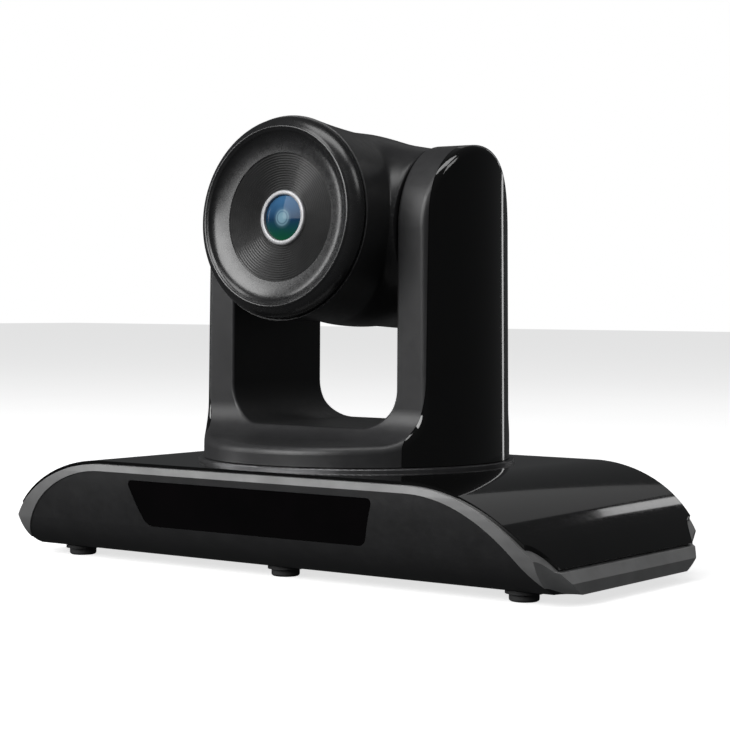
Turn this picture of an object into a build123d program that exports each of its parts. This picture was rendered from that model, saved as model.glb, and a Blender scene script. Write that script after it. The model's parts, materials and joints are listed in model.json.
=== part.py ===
from build123d import *
import os
from math import asin, atan, cos, degrees, pi, radians, sin, sqrt, tan

# Desktop pan, tilt and zoom camera. Millimetres; +X is to the right seen from the front, the
# lens looks along -Y, Z = 0 is the desk top and the origin is under the middle of the base.

os.makedirs("parts", exist_ok=True)

# ---------------------------------------------------------------- driving dimensions
BASE_WIDTH = 240.0
BASE_DEPTH = 124.0
UNDERSIDE = 4.0            # height of the base's underside on its feet
WALL = 2.5                 # moulded wall of base and yoke
PAN_Y = 3.7                # the pan axis stands this far behind the middle of the base

FACE_TOP = 34.6            # top of the matte base body
TRIM_THICKNESS = 2.4
PANEL_THICKNESS = 1.3
FACE_FLAT = 67.1           # half width of the flat crown of the matte body
FACE_RADIUS = 49.3
FACE_SWEEP = 52.0
PANEL_FLAT = 67.0
PANEL_RADIUS = 61.6
PANEL_SWEEP = 54.2
FACE_FOOT = 115.0          # half width of the matte body at the underside

FRONT_FOOT = -44.8         # front edge of the underside
BACK_FOOT = 39.0           # back edge of the underside

TOE_ANGLE = 20.0           # the front and back skins leave the underside at this slope
TOE_RADIUS = 21.0          # undercut at the bottom of the front
TOE_SWEEP = 46.0
BROW_RADIUS = 59.0         # upper part of the front
BROW_SWEEP = 19.0
HEEL_RADIUS = 26.0         # the same two at the back
HEEL_SWEEP = 38.0
BACK_RADIUS = 80.0
BACK_SWEEP = 18.0
END_BEVEL = 2.4            # bevel at the trim's ends, how far it leans in
END_BEVEL_TOP = 11.4
END_FACET_TOP = 8.0        # the upright facet below that bevel

WINDOW_TOP = 32.0
WINDOW_LOW = 15.7
WINDOW_TOP_HALF = 54.0
WINDOW_LOW_HALF = 48.0
WINDOW_TOP_CORNER = 1.5
WINDOW_LOW_CORNER = 4.0

REAR_BOX_HALF = 80.0       # socket housing at the back of the base
REAR_BOX_BACK = 60.5
REAR_BOX_DEPTH = 35.0
REAR_BOX_TOP = 32.5
REAR_BOX_CORNER = 3.0
REAR_ROOM_DEPTH = 32.0     # hollow inside that housing
REAR_ROOM_TOP = 30.5
PLATE_THICKNESS = 3.0      # bottom plate

YOKE_RADIUS = 55.9
YOKE_BOTTOM = 39.7
YOKE_FRONT = -27.0         # from the pan axis
YOKE_BACK = 26.0
GAP_HALF = 36.4            # half the gap between the arms
GAP_FLOOR = 52.0
ARM_SPLIT = 48.6           # where the matte arm ends and the gloss cover begins
ARM_SPRING = 121.7         # height where the arm's domed top begins
ARM_RISE = 29.5

TILT_Z = 122.0
REST_TILT = 4.2            # the lens looks up by this angle at rest
HEAD_SIDE = 36.0           # half width over the head's side discs
DISC_RADIUS = 28.2         # side disc of the head where it meets an arm
WAIST_RADIUS = 33.2        # the double cone between the side discs, at its middle
SEAM_L = -27.5             # seam of head shell and rear cover, from the tilt axis along the lens
HEAD_FRONT_L = 43.5
HEAD_BACK_L = -40.0
RIM_L = 49.3
RIM_RADIUS = 31.5
HEAD_WALL = 2.2

CORNER_RADIUS = 7.0        # rounded corners of base and trim, seen from above
PANEL_CORNER = 7.0
CORNER_STEP = 0.75         # spacing of the sections that shape a corner tool
CORNER_SECTIONS = 24
YOKE_EDGE = 3.0            # rounding along the outline of the yoke's arms
GAP_EDGE = 1.2             # rounding of the gap between the arms, front and back
WIDEST_SLIP = 7.0          # the gap's front and back edges lie within this of the yoke's faces

PRESSURE = radians(20)
BACKLASH = 0.3
ADDENDUM = 0.85            # tooth height above and below the pitch circle, in modules
DEDENDUM = 1.2
PAN_GEAR_TEETH = 48
TILT_GEAR_TEETH = 40
PINION_TEETH = 16
PAN_MODULE = 1.0
TILT_MODULE = 0.8
FIT = 0.05                 # radial clearance of a shaft in its bearing

# ---------------------------------------------------------------- derived places
TRIM_TOP = FACE_TOP + TRIM_THICKNESS
PANEL_TOP = TRIM_TOP + PANEL_THICKNESS
PAN_DISTANCE = (PAN_GEAR_TEETH + PINION_TEETH) * PAN_MODULE / 2
TILT_DISTANCE = (TILT_GEAR_TEETH + PINION_TEETH) * TILT_MODULE / 2
FRONT = Plane(origin=(0, 0, 0), x_dir=(1, 0, 0), z_dir=(0, -1, 0))
SIDE = Plane(origin=(0, 0, 0), x_dir=(0, 1, 0), z_dir=(1, 0, 0))
PAN = Plane(origin=(0, PAN_Y, 0))
PAN_FRONT = Plane(origin=(0, PAN_Y, 0), x_dir=(1, 0, 0), z_dir=(0, -1, 0))
PAN_SIDE = Plane(origin=(0, PAN_Y, 0), x_dir=(0, 1, 0), z_dir=(1, 0, 0))
TILT_SIDE = Plane(origin=(0, PAN_Y, TILT_Z), x_dir=(0, 1, 0), z_dir=(1, 0, 0))
LENS_DIR = Vector(0, -cos(radians(REST_TILT)), sin(radians(REST_TILT)))
LENS = Plane(origin=(0, PAN_Y, TILT_Z), x_dir=(1, 0, 0), z_dir=LENS_DIR)
LENS_CUT = Plane(origin=LENS.origin, x_dir=(1, 0, 0), z_dir=Vector(1, 0, 0).cross(LENS_DIR))
LENS_AXIS = Axis(LENS.origin, LENS_DIR)
TILT_CUT = Plane(origin=LENS.origin, x_dir=(1, 0, 0), z_dir=(0, -1, 0))
TILT_AXIS = Axis(LENS.origin, (1, 0, 0))


# ---------------------------------------------------------------- shared outlines
def arch_outline(top, flat, radius, sweep, foot):
    """Area under an arch: flat crown, round shoulders, straight skirts, seen from the front."""
    with BuildSketch(FRONT) as area:
        with BuildLine():
            crown = Line((0, top), (flat, top))
            shoulder = JernArc(crown @ 1, (1, 0), radius, -sweep)
            skirt = Line(shoulder @ 1, (foot, UNDERSIDE))
            Line(skirt @ 1, (0, UNDERSIDE))
            mirror(about=Plane.YZ)
        make_face()
    return area.sketch


def trim_outline():
    """Area under the trim's upper side: the panel's seat, a bevel and an upright end facet."""
    with BuildSketch(FRONT) as area:
        with BuildLine():
            crown = Line((0, TRIM_TOP), (PANEL_FLAT, TRIM_TOP))
            seat = JernArc(crown @ 1, (1, 0), PANEL_RADIUS - PANEL_THICKNESS, -PANEL_SWEEP)
            end = BASE_WIDTH / 2
            Polyline(
                seat @ 1, (end - END_BEVEL, END_BEVEL_TOP), (end, END_FACET_TOP),
                (end, UNDERSIDE), (0, UNDERSIDE),
            )
            mirror(about=Plane.YZ)
        make_face()
    return area.sketch


def panel_outline():
    """Front view of the gloss top panel, an arched sheet with square-cut ends."""
    with BuildSketch(FRONT) as area:
        with BuildLine():
            crown = Line((0, PANEL_TOP), (PANEL_FLAT, PANEL_TOP))
            outer = JernArc(crown @ 1, (1, 0), PANEL_RADIUS, -PANEL_SWEEP)
            under = Line((0, TRIM_TOP), (PANEL_FLAT, TRIM_TOP))
            inner = JernArc(under @ 1, (1, 0), PANEL_RADIUS - PANEL_THICKNESS, -PANEL_SWEEP)
            Line(outer @ 1, inner @ 1)
            mirror(about=Plane.YZ)
        make_face()
    return area.sketch


def base_section(grow):
    """Side view of the base: an undercut front and back, grown outwards by grow."""
    slope = radians(TOE_ANGLE)
    top = PANEL_TOP + 4
    half = BASE_DEPTH / 2
    with BuildSketch(SIDE) as area:
        with BuildLine():
            toe = JernArc((FRONT_FOOT, UNDERSIDE), (-cos(slope), sin(slope)), TOE_RADIUS, -TOE_SWEEP)
            brow = JernArc(toe @ 1, toe % 1, BROW_RADIUS, -BROW_SWEEP)
            heel = JernArc((BACK_FOOT, UNDERSIDE), (cos(slope), sin(slope)), HEEL_RADIUS, HEEL_SWEEP)
            back = JernArc(heel @ 1, heel % 1, BACK_RADIUS, BACK_SWEEP)
            Polyline(brow @ 1, (-half, top), (half, top), back @ 1)
            Line(toe @ 0, heel @ 0)
        make_face()
        offset(amount=grow, kind=Kind.INTERSECTION)
    return area.sketch


def skin_reach(section, height, side):
    """Y of the front (side -1) or back (side 1) of a base section at a height."""
    probe = Edge.make_line((0, side * BASE_DEPTH, height), (0, 0, height))
    cut = probe & section
    reaches = [vertex.Y for vertex in cut.vertices()]
    return min(reaches) if side < 0 else max(reaches)


def corner_tool(section, lowest, end, radius):
    """What lies outside the rounded corners of a base section that ends at X = end."""
    margin = 3
    levels = [lowest + CORNER_STEP * step for step in range(CORNER_SECTIONS)]
    with BuildPart() as tool:
        for side in (-1, 1):
            for height in [UNDERSIDE - 1] + levels:
                edge = skin_reach(section, max(height, lowest), side)
                start = (end - radius, edge)
                finish = (end, edge - side * radius)
                outer = edge + side * margin
                with BuildSketch(Plane.XY.offset(height)):
                    with BuildLine():
                        Polyline(
                            start, (start[0], outer), (end + margin, outer),
                            (end + margin, finish[1]), finish,
                        )
                        RadiusArc(finish, start, side * radius)
                    make_face()
            loft(ruled=True)
        mirror(about=Plane.YZ)
    return tool


def window_outline(grow):
    """The front window: an upside-down trapezoid with rounded corners."""
    with BuildSketch(FRONT) as area:
        Polygon(
            (-WINDOW_TOP_HALF, WINDOW_TOP), (WINDOW_TOP_HALF, WINDOW_TOP),
            (WINDOW_LOW_HALF, WINDOW_LOW), (-WINDOW_LOW_HALF, WINDOW_LOW), align=None,
        )
        fillet(area.vertices().group_by(Axis.Y)[-1], WINDOW_TOP_CORNER)
        fillet(area.vertices().group_by(Axis.Y)[0], WINDOW_LOW_CORNER)
        if grow:
            offset(amount=grow)
    return area.sketch


def gear_outline(teeth, module, plane, phase):
    """Spur gear with involute flanks, thinned by the backlash."""
    pitch = teeth * module / 2
    base = pitch * cos(PRESSURE)
    tip = pitch + ADDENDUM * module
    root = pitch - DEDENDUM * module
    half_tooth = pi / (2 * teeth) - BACKLASH / (2 * pitch) + tan(PRESSURE) - PRESSURE
    low = max(root, base)
    radii = [low + (tip - low) * step / 3 for step in range(4)]

    def at(radius, side, turn):
        roll = sqrt(max((radius / base) ** 2 - 1, 0))
        angle = turn + side * (half_tooth - (roll - atan(roll)))
        return (radius * cos(angle), radius * sin(angle))

    with BuildSketch(plane) as area:
        with BuildLine():
            for tooth in range(teeth):
                turn = phase + 2 * pi * tooth / teeth
                rise = Spline(*[at(radius, -1, turn) for radius in radii])
                fall = Spline(*[at(radius, 1, turn) for radius in reversed(radii)])
                Line(rise @ 1, fall @ 0)
                foot_in = at(root, -1, turn) if root < base else rise @ 0
                foot_out = at(root, 1, turn) if root < base else fall @ 1
                next_foot = at(root, -1, turn + 2 * pi / teeth)
                if root < base:
                    Line(foot_in, rise @ 0)
                    Line(fall @ 1, foot_out)
                Line(foot_out, next_foot)
        make_face()
    return area.sketch


def save(piece, name):
    """Label a finished sub-part and write it as one STEP file."""
    piece.part.label = name
    export_step(piece.part, "parts/" + name + ".step")


FACE_ARCH = arch_outline(FACE_TOP, FACE_FLAT, FACE_RADIUS, FACE_SWEEP, FACE_FOOT)
CAVITY_ARCH = arch_outline(
    FACE_TOP - WALL, FACE_FLAT, FACE_RADIUS - WALL, FACE_SWEEP, FACE_FOOT - 1.3 * WALL
)
TRIM_ARCH = trim_outline()
PANEL_ARCH = panel_outline()
BODY_SECTION = base_section(0)
CAVITY_SECTION = base_section(-WALL)
TRIM_SECTION = base_section(0.3)
PANEL_SECTION = base_section(-0.9)
WINDOW_CUT = window_outline(0.15)
WINDOW_FACE = window_outline(0)
WINDOW_SKIN = base_section(-0.2)
WINDOW_BACK = base_section(-2.0)

BASE_CORNERS = corner_tool(TRIM_SECTION, UNDERSIDE + 0.02, BASE_WIDTH / 2, CORNER_RADIUS)
PANEL_END = PANEL_FLAT + PANEL_RADIUS * sin(radians(PANEL_SWEEP))
PANEL_CORNERS = corner_tool(PANEL_SECTION, UNDERSIDE + 1.2, PANEL_END, PANEL_CORNER)

# ---------------------------------------------------------------- places in the base
SCREW_RADIUS = 1.5
BOSS_RADIUS = 4.0
BASE_BOSSES = [(x, y, 26) for x in (-92, 92) for y in (-24, 26)]
BASE_BOSSES += [(x, -36, 33) for x in (-40, 40)]
PANEL_CUT_HALF = 74.0      # opening for the rear socket panel
PANEL_CUT_LOW = 9.0
PANEL_CUT_HIGH = 29.0
PLATE_HALF_X = 108.0
PLATE_FRONT = -40.0
PLATE_BACK = 35.0
PLATE_TOP = UNDERSIDE + PLATE_THICKNESS
BEARING_RADIUS = 18.5
HUB_SEAT = 28.0            # underside of the boss that holds the pan bearing
HUB_SEAT_RADIUS = 23.0
SCREW_DEPTH = 12.0         # of a base screw's hole and shank
SCREW_HEAD_RADIUS = 2.8
SCREW_HEAD_HEIGHT = 1.4
THREAD_RADIUS = 2.55       # tripod thread, minor radius
THREAD_LENGTH = 7.0
INSERT_RADIUS = 6.0
FOOT_RADIUS = 5.0
FOOT_FLANGE_RADIUS = 6.3
FOOT_FLANGE = 1.4
FOOT_PEG_RADIUS = 2.0
LIGHT_X = 9.3              # the two indicator lights, from the middle
LIGHT_Z = 21.1
LIGHT_RADIUS = 1.2
LIGHT_BACK = 40.0          # where their light pipes start behind the front
LIGHT_LENGTH = 16.5
RECEIVER = (-28, 23)       # infrared receiver, seen from the front
HUB_HALF = 46.8            # step on the base body that fills the top panel's middle
FEET = [(x, y) for x in (-98, 98) for y in (-38.0, 31.0)] + [(0, -38.0)]
BOARD_LOW = 9.6
BOARD_HIGH = 11.2
MOTOR_X = -PAN_DISTANCE
SOCKET_FACE = REAR_BOX_BACK - WALL - 1.6   # inner face of the rear panel
PANEL_FACE = REAR_BOX_BACK - WALL          # outer face of the rear panel
SOCKET_Z = 19.0


# ================================================================ base
with BuildPart() as base_space:
    extrude(CAVITY_SECTION, amount=BASE_WIDTH, both=True)
    extrude(CAVITY_ARCH, amount=BASE_DEPTH, both=True, mode=Mode.INTERSECT)

with BuildPart() as base_shell:
    extrude(BODY_SECTION, amount=BASE_WIDTH, both=True)
    extrude(FACE_ARCH, amount=BASE_DEPTH, both=True, mode=Mode.INTERSECT)
    add(BASE_CORNERS.part, mode=Mode.SUBTRACT)
    with BuildSketch(Plane.XY.offset(UNDERSIDE)):
        with Locations((0, REAR_BOX_BACK - REAR_BOX_DEPTH / 2)):
            RectangleRounded(2 * REAR_BOX_HALF, REAR_BOX_DEPTH, REAR_BOX_CORNER)
    extrude(amount=REAR_BOX_TOP - UNDERSIDE)
    add(base_space.part, mode=Mode.SUBTRACT)
    with BuildSketch(Plane.XY.offset(PLATE_TOP)):
        with Locations((0, REAR_BOX_BACK - WALL - REAR_ROOM_DEPTH / 2)):
            Rectangle(2 * (REAR_BOX_HALF - WALL), REAR_ROOM_DEPTH)
    extrude(amount=REAR_ROOM_TOP - PLATE_TOP, mode=Mode.SUBTRACT)
    with BuildSketch(Plane.XY.offset(UNDERSIDE)):
        with Locations((0, (PLATE_FRONT + PLATE_BACK) / 2)):
            Rectangle(2 * PLATE_HALF_X, PLATE_BACK - PLATE_FRONT)
    extrude(amount=PLATE_THICKNESS, mode=Mode.SUBTRACT)
    extrude(WINDOW_CUT, amount=BASE_DEPTH, mode=Mode.SUBTRACT)
    with BuildSketch(FRONT.offset(-REAR_BOX_BACK)):
        with Locations((0, (PANEL_CUT_LOW + PANEL_CUT_HIGH) / 2)):
            RectangleRounded(2 * PANEL_CUT_HALF, PANEL_CUT_HIGH - PANEL_CUT_LOW, 1.5)
    extrude(amount=WALL, mode=Mode.SUBTRACT)
    with BuildSketch(PAN.offset(HUB_SEAT)):
        Circle(HUB_SEAT_RADIUS)
    extrude(amount=FACE_TOP - HUB_SEAT)
    with BuildSketch(PAN.offset(FACE_TOP - 1)):
        Circle(HUB_HALF)
    extrude(amount=PANEL_TOP - FACE_TOP + 1)
    with BuildSketch(PAN.offset(HUB_SEAT)):
        Circle(BEARING_RADIUS)
    extrude(amount=20, mode=Mode.SUBTRACT)
    for boss_x, boss_y, boss_top in BASE_BOSSES:
        with BuildSketch(Plane.XY.offset(PLATE_TOP)):
            with Locations((boss_x, boss_y)):
                Circle(BOSS_RADIUS)
        extrude(amount=boss_top - PLATE_TOP)
        with BuildSketch(Plane.XY.offset(PLATE_TOP)):
            with Locations((boss_x, boss_y)):
                Circle(SCREW_RADIUS + FIT)
        extrude(amount=SCREW_DEPTH, mode=Mode.SUBTRACT)
save(base_shell, "base_shell")

with BuildPart() as base_trim:
    extrude(TRIM_SECTION, amount=BASE_WIDTH / 2, both=True)
    extrude(TRIM_ARCH, amount=BASE_DEPTH, both=True, mode=Mode.INTERSECT)
    extrude(FACE_ARCH, amount=BASE_DEPTH, both=True, mode=Mode.SUBTRACT)
    with BuildSketch(Plane.XY.offset(20)):
        RectangleRounded(196, 104, 8)
    extrude(amount=30, mode=Mode.SUBTRACT)
    add(BASE_CORNERS.part, mode=Mode.SUBTRACT)
save(base_trim, "base_trim")

with BuildPart() as top_panel:
    extrude(PANEL_SECTION, amount=BASE_WIDTH, both=True)
    extrude(PANEL_ARCH, amount=BASE_DEPTH, both=True, mode=Mode.INTERSECT)
    with BuildSketch(PAN.offset(30)):
        Circle(HUB_HALF + 0.1)
    extrude(amount=20, mode=Mode.SUBTRACT)
    add(PANEL_CORNERS.part, mode=Mode.SUBTRACT)
save(top_panel, "top_panel")

with BuildPart() as front_window:
    extrude(WINDOW_FACE, amount=BASE_DEPTH)
    extrude(WINDOW_SKIN, amount=BASE_WIDTH, both=True, mode=Mode.INTERSECT)
    extrude(WINDOW_BACK, amount=BASE_WIDTH, both=True, mode=Mode.SUBTRACT)
save(front_window, "front_window")

with BuildPart() as indicator_lights:
    for light_x in (-LIGHT_X, LIGHT_X):
        with BuildSketch(FRONT.offset(LIGHT_BACK)):
            with Locations((light_x, LIGHT_Z)):
                Circle(LIGHT_RADIUS)
        extrude(amount=LIGHT_LENGTH)
save(indicator_lights, "indicator_lights")

with BuildPart() as infrared_receiver:
    with BuildSketch(FRONT.offset(50)):
        with Locations(RECEIVER):
            RectangleRounded(7, 6, 1)
    extrude(amount=4)
    with BuildSketch(FRONT.offset(54)):
        with Locations(RECEIVER):
            Circle(2.4)
    extrude(amount=2.5, taper=12)
save(infrared_receiver, "infrared_receiver")

with BuildPart() as bottom_plate:
    with BuildSketch(Plane.XY.offset(UNDERSIDE)):
        with Locations((0, (PLATE_FRONT + PLATE_BACK) / 2)):
            Rectangle(2 * PLATE_HALF_X - 0.2, PLATE_BACK - PLATE_FRONT - 0.2)
        with Locations(*[(x, y) for x, y, top in BASE_BOSSES]):
            Circle(1.7, mode=Mode.SUBTRACT)
        with Locations(*FEET):
            Circle(2.05, mode=Mode.SUBTRACT)
        with Locations((0, PAN_Y)):
            Circle(INSERT_RADIUS, mode=Mode.SUBTRACT)
    extrude(amount=PLATE_THICKNESS)
    with BuildSketch(Plane.XY.offset(UNDERSIDE)):
        with Locations(*[(x, y) for x, y, top in BASE_BOSSES]):
            Circle(3.0)
    extrude(amount=1.5, mode=Mode.SUBTRACT)
save(bottom_plate, "bottom_plate")

with BuildPart() as tripod_insert:
    with BuildSketch(PAN.offset(UNDERSIDE)):
        Circle(INSERT_RADIUS)
        Circle(THREAD_RADIUS, mode=Mode.SUBTRACT)
    extrude(amount=THREAD_LENGTH)
    with BuildSketch(PAN.offset(PLATE_TOP)):
        RegularPolygon(9.0, 6)
        Circle(THREAD_RADIUS, mode=Mode.SUBTRACT)
    extrude(amount=2.0)
save(tripod_insert, "tripod_insert")

with BuildPart() as base_screws:
    for boss_x, boss_y, boss_top in BASE_BOSSES:
        with BuildSketch(Plane.XY.offset(UNDERSIDE + 0.1)):
            with Locations((boss_x, boss_y)):
                Circle(SCREW_HEAD_RADIUS)
        extrude(amount=SCREW_HEAD_HEIGHT)
        with BuildSketch(Plane.XY.offset(UNDERSIDE + 1.5)):
            with Locations((boss_x, boss_y)):
                Circle(SCREW_RADIUS)
        extrude(amount=SCREW_DEPTH)
        with BuildSketch(Plane.XY.offset(UNDERSIDE)):
            with Locations((boss_x, boss_y)):
                Rectangle(3.2, 0.6)
                Rectangle(0.6, 3.2)
        extrude(amount=0.9, mode=Mode.SUBTRACT)
save(base_screws, "base_screws")

with BuildPart() as rubber_feet:
    for foot_x, foot_y in FEET:
        with BuildSketch(Plane.XY):
            with Locations((foot_x, foot_y)):
                Circle(FOOT_RADIUS)
        extrude(amount=UNDERSIDE)
        with BuildSketch(Plane.XY.offset(UNDERSIDE - FOOT_FLANGE)):
            with Locations((foot_x, foot_y)):
                Circle(FOOT_FLANGE_RADIUS)
        extrude(amount=FOOT_FLANGE)
        with BuildSketch(Plane.XY.offset(UNDERSIDE)):
            with Locations((foot_x, foot_y)):
                Circle(FOOT_PEG_RADIUS)
        extrude(amount=PLATE_THICKNESS)
    soles = rubber_feet.edges().filter_by(GeomType.CIRCLE).group_by(Axis.Z)[0]
    fillet(soles, 0.9)
save(rubber_feet, "rubber_feet")

# ---- circuit board and rear sockets
with BuildPart() as main_board:
    with BuildSketch(Plane.XY.offset(BOARD_LOW)):
        with Locations((0, 10)):
            RectangleRounded(150, 74, 2)
        with Locations((MOTOR_X, PAN_Y)):
            Circle(17.5, mode=Mode.SUBTRACT)
        with Locations((0, PAN_Y)):
            RegularPolygon(11, 6, mode=Mode.SUBTRACT)
    extrude(amount=BOARD_HIGH - BOARD_LOW)
    with BuildSketch(Plane.XY.offset(PLATE_TOP)):
        with Locations((-70, -22), (70, -22), (-70, 30), (70, 30)):
            Circle(2.5)
    extrude(amount=BOARD_LOW - PLATE_TOP)
    with BuildSketch(Plane.XY.offset(BOARD_HIGH)):
        with Locations((44, 2)):
            Rectangle(15, 15)
        with Locations((62, 22)):
            Rectangle(10, 10)
        with Locations((44, -16), (60, -8)):
            Rectangle(8, 5)
    extrude(amount=1.4)
    with BuildSketch(Plane.XY.offset(BOARD_HIGH)):
        with Locations((-62, -16), (-62, -4), (-62, 8)):
            Circle(4)
    extrude(amount=10)
save(main_board, "main_board")

ROCKER_X = -60.0
POWER_X = -41.0
DIAL_X = -28.0
VIDEO_X = -11.0
USB_X = 8.0
NETWORK_X = 28.0
SERIAL_X = (46.0, 62.0)
ROCKER_W = 19.0            # outsides of the switch and the sockets in the rear panel
ROCKER_H = 13.0
POWER_RADIUS = 4.5
DIAL_RADIUS = 4.6
VIDEO_W = 15.4
VIDEO_H = 6.4
USB_W = 14.0
USB_H = 7.0
NETWORK_W = 16.0
NETWORK_H = 13.4
SERIAL_RADIUS = 6.5
LINK_W = 11.9              # network socket mouth
LINK_H = 8.0
CLEAR = 0.1                # gap round each socket in the rear panel

REAR_BACK = FRONT.offset(-SOCKET_FACE)     # plane of the rear panel's inner face, facing -Y
with BuildPart() as rear_panel:
    with BuildSketch(REAR_BACK):
        with Locations((0, (PANEL_CUT_LOW + PANEL_CUT_HIGH) / 2)):
            Rectangle(2 * PANEL_CUT_HALF + 3, PANEL_CUT_HIGH - PANEL_CUT_LOW + 3)
        with Locations((ROCKER_X, SOCKET_Z)):
            Rectangle(ROCKER_W + 2 * CLEAR, ROCKER_H + 2 * CLEAR, mode=Mode.SUBTRACT)
        with Locations((POWER_X, SOCKET_Z)):
            Circle(POWER_RADIUS + CLEAR, mode=Mode.SUBTRACT)
        with Locations((DIAL_X, SOCKET_Z)):
            Circle(DIAL_RADIUS + CLEAR, mode=Mode.SUBTRACT)
        with Locations((VIDEO_X, SOCKET_Z)):
            Rectangle(VIDEO_W + 2 * CLEAR, VIDEO_H + 2 * CLEAR, mode=Mode.SUBTRACT)
        with Locations((USB_X, SOCKET_Z)):
            Rectangle(USB_W + 2 * CLEAR, USB_H + 2 * CLEAR, mode=Mode.SUBTRACT)
        with Locations((NETWORK_X, SOCKET_Z)):
            Rectangle(NETWORK_W + 2 * CLEAR, NETWORK_H + 2 * CLEAR, mode=Mode.SUBTRACT)
        with Locations(*[(x, SOCKET_Z) for x in SERIAL_X]):
            Circle(SERIAL_RADIUS + CLEAR, mode=Mode.SUBTRACT)
        with Locations((-71, 12), (71, 26)):
            Circle(1.55, mode=Mode.SUBTRACT)
    extrude(amount=-(PANEL_FACE - SOCKET_FACE))
save(rear_panel, "rear_panel")

SOCKET_BACK = FRONT.offset(-(PANEL_FACE + 0.4))   # socket faces stand a little proud
with BuildPart() as network_socket:
    with BuildSketch(SOCKET_BACK):
        with Locations((NETWORK_X, SOCKET_Z)):
            Rectangle(NETWORK_W, NETWORK_H)
    extrude(amount=14)
    with BuildSketch(SOCKET_BACK):
        with Locations((NETWORK_X, SOCKET_Z - 1)):
            Rectangle(LINK_W, LINK_H)
    extrude(amount=12, mode=Mode.SUBTRACT)
    with BuildSketch(SOCKET_BACK):
        with Locations((NETWORK_X, SOCKET_Z + LINK_H / 2 - 0.5)):
            Rectangle(6, 1.6)
    extrude(amount=12, mode=Mode.SUBTRACT)
save(network_socket, "network_socket")

with BuildPart() as video_socket:
    with BuildSketch(SOCKET_BACK):
        with Locations((VIDEO_X, SOCKET_Z)):
            Rectangle(VIDEO_W, VIDEO_H)
    extrude(amount=12)
    with BuildSketch(SOCKET_BACK):
        with Locations((VIDEO_X, SOCKET_Z)):
            Polygon((-7, 2.4), (7, 2.4), (7, -0.4), (5.2, -2.4), (-5.2, -2.4), (-7, -0.4), align=None)
    extrude(amount=9, mode=Mode.SUBTRACT)
    with BuildSketch(SOCKET_BACK.offset(1.2)):
        with Locations((VIDEO_X, SOCKET_Z + 0.4)):
            Rectangle(11, 1.2)
    extrude(amount=8)
save(video_socket, "video_socket")

with BuildPart() as usb_socket:
    with BuildSketch(SOCKET_BACK):
        with Locations((USB_X, SOCKET_Z)):
            Rectangle(USB_W, USB_H)
    extrude(amount=14)
    with BuildSketch(SOCKET_BACK):
        with Locations((USB_X, SOCKET_Z)):
            Rectangle(12.6, 5.6)
    extrude(amount=10, mode=Mode.SUBTRACT)
    with BuildSketch(SOCKET_BACK.offset(1)):
        with Locations((USB_X, SOCKET_Z + 1)):
            Rectangle(11, 2.0)
    extrude(amount=9.5)
save(usb_socket, "usb_socket")

with BuildPart() as power_socket:
    with BuildSketch(SOCKET_BACK):
        with Locations((POWER_X, SOCKET_Z)):
            Circle(POWER_RADIUS)
            Circle(3.1, mode=Mode.SUBTRACT)
            Circle(1.0)
    extrude(amount=9)
    with BuildSketch(SOCKET_BACK.offset(9)):
        with Locations((POWER_X, SOCKET_Z)):
            Rectangle(9, 9)
    extrude(amount=4)
save(power_socket, "power_socket")

with BuildPart() as serial_sockets:
    with BuildSketch(SOCKET_BACK):
        with Locations(*[(x, SOCKET_Z) for x in SERIAL_X]):
            Circle(SERIAL_RADIUS)
    extrude(amount=12)
    with BuildSketch(SOCKET_BACK):
        with Locations(*[(x, SOCKET_Z) for x in SERIAL_X]):
            Circle(4.8)
            Circle(3.6, mode=Mode.SUBTRACT)
    extrude(amount=8, mode=Mode.SUBTRACT)
    for socket_x in SERIAL_X:
        with BuildSketch(SOCKET_BACK):
            with Locations((socket_x, SOCKET_Z)):
                with PolarLocations(2.4, 8, 22.5):
                    Circle(0.4)
        extrude(amount=4, mode=Mode.SUBTRACT)
save(serial_sockets, "serial_sockets")

# ---- rocker power switch, resting on its off side
ROCKER_TILT = 7.0
ROCKER_Y = PANEL_FACE - 2.0
ROCKER_PIVOT = Plane(origin=(ROCKER_X, ROCKER_Y, SOCKET_Z), x_dir=(1, 0, 0), z_dir=(0, 0, 1))
with BuildPart() as switch_frame:
    with BuildSketch(FRONT.offset(-PANEL_FACE)):
        with Locations((ROCKER_X, SOCKET_Z)):
            RectangleRounded(21, 15, 1)
    extrude(amount=-1.2)
    with BuildSketch(FRONT.offset(-PANEL_FACE)):
        with Locations((ROCKER_X, SOCKET_Z)):
            Rectangle(19, 13)
    extrude(amount=14)
    with BuildSketch(FRONT.offset(-PANEL_FACE - 1.2)):
        with Locations((ROCKER_X, SOCKET_Z)):
            Rectangle(17, 10.6)
    extrude(amount=9, mode=Mode.SUBTRACT)
    with BuildSketch(ROCKER_PIVOT):
        Circle(0.9)
    extrude(amount=6, both=True)
save(switch_frame, "switch_frame")

with BuildPart() as power_rocker:
    with BuildSketch(ROCKER_PIVOT.rotated((0, 0, -ROCKER_TILT))):
        with BuildLine():
            left = (-7.6, 2.4)
            right = (7.6, 2.4)
            ThreePointArc(left, (0, 1.2), right)
            Polyline(right, (7.6, -1.6), (2.6, -3.6), (-2.6, -3.6), (-7.6, -1.6), left)
        make_face()
        Circle(0.95, mode=Mode.SUBTRACT)
    extrude(amount=4.9, both=True)
save(power_rocker, "power_rocker")

# ---- camera number dial: a rotary switch with a screwdriver slot
DIAL_BACK = FRONT.offset(-PANEL_FACE)
with BuildPart() as dial_housing:
    with BuildSketch(DIAL_BACK):
        with Locations((DIAL_X, SOCKET_Z)):
            Circle(4.6)
            Circle(3.6, mode=Mode.SUBTRACT)
    extrude(amount=8)
    with BuildSketch(DIAL_BACK.offset(5)):
        with Locations((DIAL_X, SOCKET_Z)):
            Circle(4.6)
    extrude(amount=4)
    with BuildSketch(DIAL_BACK.offset(3)):
        with Locations((DIAL_X, SOCKET_Z)):
            Circle(1.55)
    extrude(amount=7, mode=Mode.SUBTRACT)
save(dial_housing, "dial_housing")

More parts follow.
